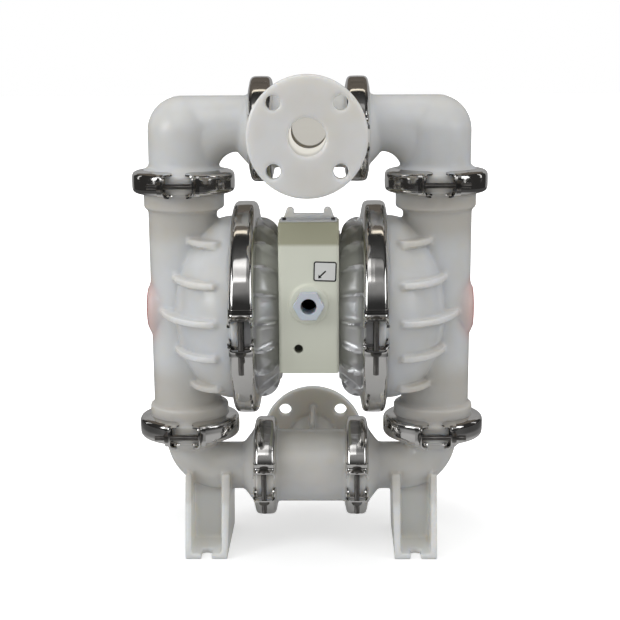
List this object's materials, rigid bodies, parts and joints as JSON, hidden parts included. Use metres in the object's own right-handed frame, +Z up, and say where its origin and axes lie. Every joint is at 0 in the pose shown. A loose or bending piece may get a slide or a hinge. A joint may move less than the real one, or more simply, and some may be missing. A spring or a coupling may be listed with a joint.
{
  "type": "air operated diaphragm pump",
  "caption": "Upright double diaphragm pump in natural plastic with band clamps, bolted pipe flanges front and back, an air block in the middle and two slotted feet.",
  "frame": {"origin": "on the floor, midway between the feet", "axes": "+X across the pump along the shaft, +Y to the back (inlet flange), +Z up"},
  "size_m": [0.4898, 0.329, 0.6745],
  "materials": {
    "natural_plastic": "milky natural polypropylene, moulded, faintly glossy",
    "polished_steel": "polished stainless sheet",
    "fastener_steel": "plain stainless fasteners",
    "cast_aluminium": "cast, matt",
    "elastomer": "black rubber",
    "ball_elastomer": "smooth off-white elastomer",
    "white_plastic": "plain white plastic",
    "machined_aluminium": "turned",
    "shaft_steel": "ground",
    "bronze": "turned bearing bronze",
    "block_plastic": "pale green-beige moulded plastic",
    "bushing_plastic": "bluish white plastic",
    "label_film": "printed film, plain",
    "muffler_plastic": "black sintered plastic"
  },
  "bodies": {
    "housing": {"liquid_chamber_left": "natural_plastic", "liquid_chamber_right": "natural_plastic", "discharge_elbow_left": "natural_plastic", "discharge_elbow_right": "natural_plastic", "inlet_elbow_left": "natural_plastic", "inlet_elbow_right": "natural_plastic", "discharge_tee": "natural_plastic", "inlet_tee": "natural_plastic", "inlet_seat_left": "white_plastic", "inlet_seat_right": "white_plastic", "discharge_seat_left": "white_plastic", "discharge_seat_right": "white_plastic", "valve_seat_rings": "elastomer", "manifold_rings": "elastomer", "chamber_clamp_upper_left": "polished_steel", "chamber_clamp_upper_right": "polished_steel", "chamber_clamp_lower_left": "polished_steel", "chamber_clamp_lower_right": "polished_steel", "riser_clamp_upper_left": "polished_steel", "riser_clamp_upper_right": "polished_steel", "riser_clamp_lower_left": "polished_steel", "riser_clamp_lower_right": "polished_steel", "discharge_clamp_left": "polished_steel", "discharge_clamp_right": "polished_steel", "inlet_clamp_left": "polished_steel", "inlet_clamp_right": "polished_steel", "chamber_clamp_bolts": "fastener_steel", "chamber_clamp_nuts": "fastener_steel", "riser_clamp_bolts": "fastener_steel", "riser_clamp_nuts": "fastener_steel", "manifold_clamp_bolts": "fastener_steel", "manifold_clamp_nuts": "fastener_steel", "air_chamber_left": "cast_aluminium", "air_chamber_right": "cast_aluminium", "air_chamber_screws": "fastener_steel", "diaphragm_left": "elastomer", "diaphragm_right": "elastomer", "shaft_bushings": "bronze", "shaft_seals": "elastomer", "centre_block": "block_plastic", "air_inlet_bushing": "bushing_plastic", "label_plates": "label_film", "air_valve_gasket": "elastomer", "air_valve_body": "block_plastic", "air_valve_end_caps": "machined_aluminium", "air_valve_screws": "fastener_steel", "exhaust_muffler": "muffler_plastic", "top_cover": "natural_plastic", "top_cover_screws": "fastener_steel"},
    "shaft_assembly": {"shaft": "shaft_steel", "inner_piston_left": "machined_aluminium", "inner_piston_right": "machined_aluminium", "outer_piston_left": "white_plastic", "outer_piston_right": "white_plastic"},
    "inlet_ball_left": {"inlet_ball_left": "ball_elastomer"},
    "inlet_ball_right": {"inlet_ball_right": "ball_elastomer"},
    "discharge_ball_left": {"discharge_ball_left": "ball_elastomer"},
    "discharge_ball_right": {"discharge_ball_right": "ball_elastomer"},
    "air_valve_spool": {"air_valve_spool": "machined_aluminium"},
    "pilot_spool": {"pilot_spool": "shaft_steel"}
  },
  "joints": [
    {"name": "shaft_stroke", "type": "slide", "parent": "housing", "child": "shaft_assembly", "axis": [1, 0, 0], "range_m": [-0.018, 0.018], "deforming": ["diaphragm_left", "diaphragm_right"]},
    {"name": "inlet_ball_left_lift", "type": "slide", "parent": "housing", "child": "inlet_ball_left", "axis": [0, 0, 1], "range_m": [0, 0.012]},
    {"name": "inlet_ball_right_lift", "type": "slide", "parent": "housing", "child": "inlet_ball_right", "axis": [0, 0, 1], "range_m": [0, 0.012]},
    {"name": "discharge_ball_left_lift", "type": "slide", "parent": "housing", "child": "discharge_ball_left", "axis": [0, 0, 1], "range_m": [0, 0.012]},
    {"name": "discharge_ball_right_lift", "type": "slide", "parent": "housing", "child": "discharge_ball_right", "axis": [0, 0, 1], "range_m": [0, 0.012]},
    {"name": "air_valve_shift", "type": "slide", "parent": "housing", "child": "air_valve_spool", "axis": [1, 0, 0], "range_m": [-0.006, 0.006]},
    {"name": "pilot_shift", "type": "slide", "parent": "housing", "child": "pilot_spool", "axis": [1, 0, 0], "range_m": [-0.003, 0.003]}
  ],
  "couplings": [
    {"joint": "pilot_shift", "follows": "shaft_stroke", "ratio": 0.16667}
  ]
}
